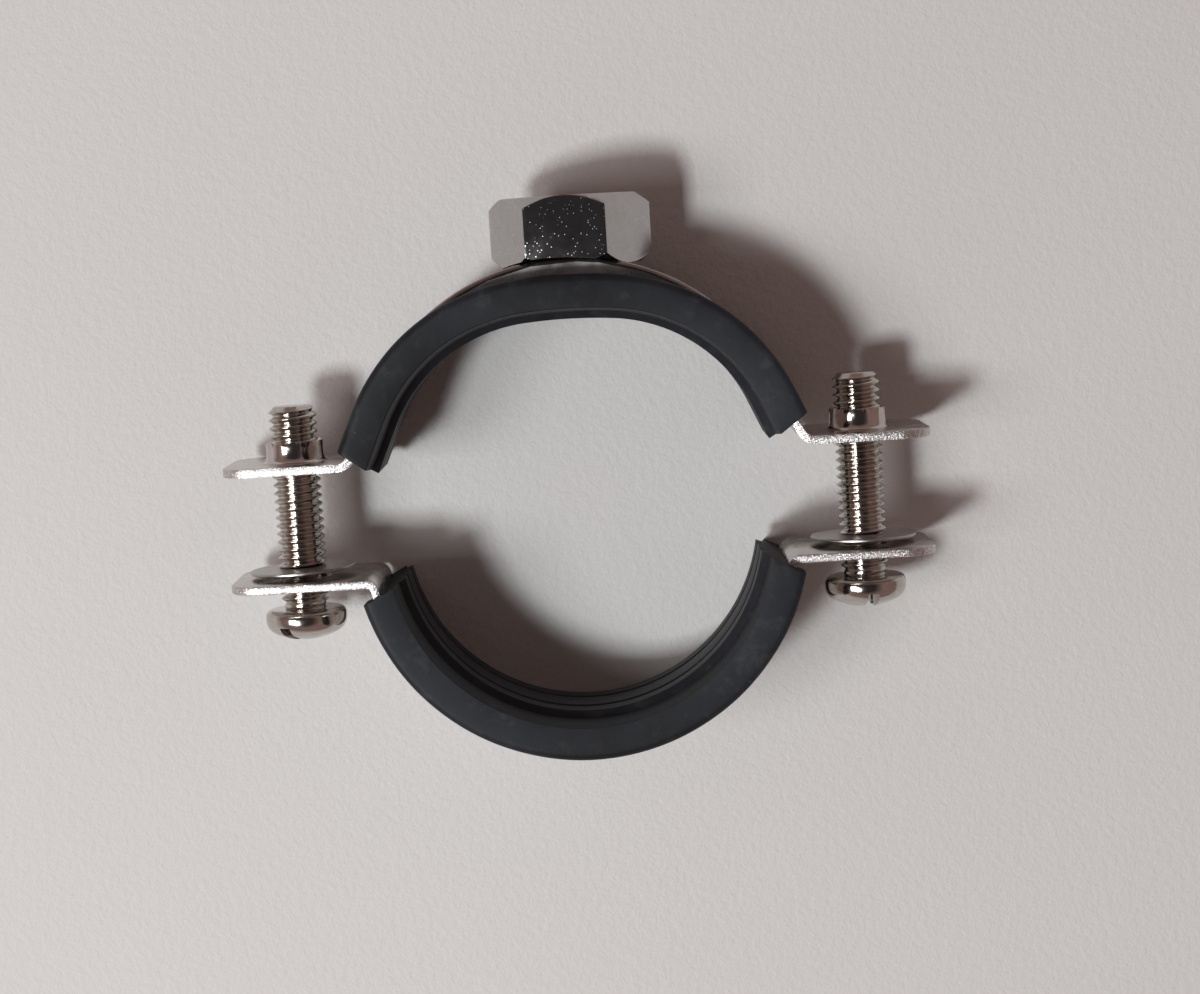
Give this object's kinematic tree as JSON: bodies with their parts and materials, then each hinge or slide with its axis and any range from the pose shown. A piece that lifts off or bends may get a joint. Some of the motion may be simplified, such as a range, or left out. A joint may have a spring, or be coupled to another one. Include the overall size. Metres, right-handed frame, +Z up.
{
  "type": "rubber lined pipe clamp",
  "caption": "Rubber lined two-screw pipe clamp: bent steel bands with ears, ribbed liners, slotted screws with retaining washers, and a hexagon nut welded on top for a hanging rod.",
  "frame": {"origin": "on the axis of the lower half's pipe seat, at the middle of the clamp's width", "axes": "+X runs from the left ear to the right ear, +Y along the pipe, and +Z up towards the nut that the hanging rod screws into"},
  "size_m": [0.0856, 0.022, 0.0677],
  "materials": {
    "strip_steel": "rolled stainless strip, bright",
    "nut_steel": "machined stainless, satin",
    "screw_steel": "rolled thread, bright stainless",
    "washer_steel": "thin stamped stainless",
    "rubber": "matte black"
  },
  "bodies": {
    "upper_half": {"upper_band": "strip_steel", "upper_liner": "rubber", "hanger_nut": "nut_steel"},
    "lower_half": {"lower_band": "strip_steel", "lower_liner": "rubber"},
    "left_fastener": {"left_screw": "screw_steel", "left_washer": "washer_steel"},
    "right_fastener": {"right_screw": "screw_steel", "right_washer": "washer_steel"}
  },
  "joints": [
    {"name": "closing", "type": "slide", "parent": "upper_half", "child": "lower_half", "axis": [0, 0, 1], "range_m": [-0.006, 0.0117]},
    {"name": "left_screw_turn", "type": "hinge", "parent": "lower_half", "child": "left_fastener", "pos_m": [-0.0346, 0, 0], "axis": [0, 0, 1], "range_deg": [-2170, 4260]},
    {"name": "right_screw_turn", "type": "hinge", "parent": "lower_half", "child": "right_fastener", "pos_m": [0.0346, 0, 0], "axis": [0, 0, 1], "range_deg": [-2170, 4260]}
  ],
  "couplings": [
    {"joint": "left_screw_turn", "follows": "closing", "rad_per_m": 6283.2},
    {"joint": "right_screw_turn", "follows": "closing", "rad_per_m": 6283.2}
  ]
}
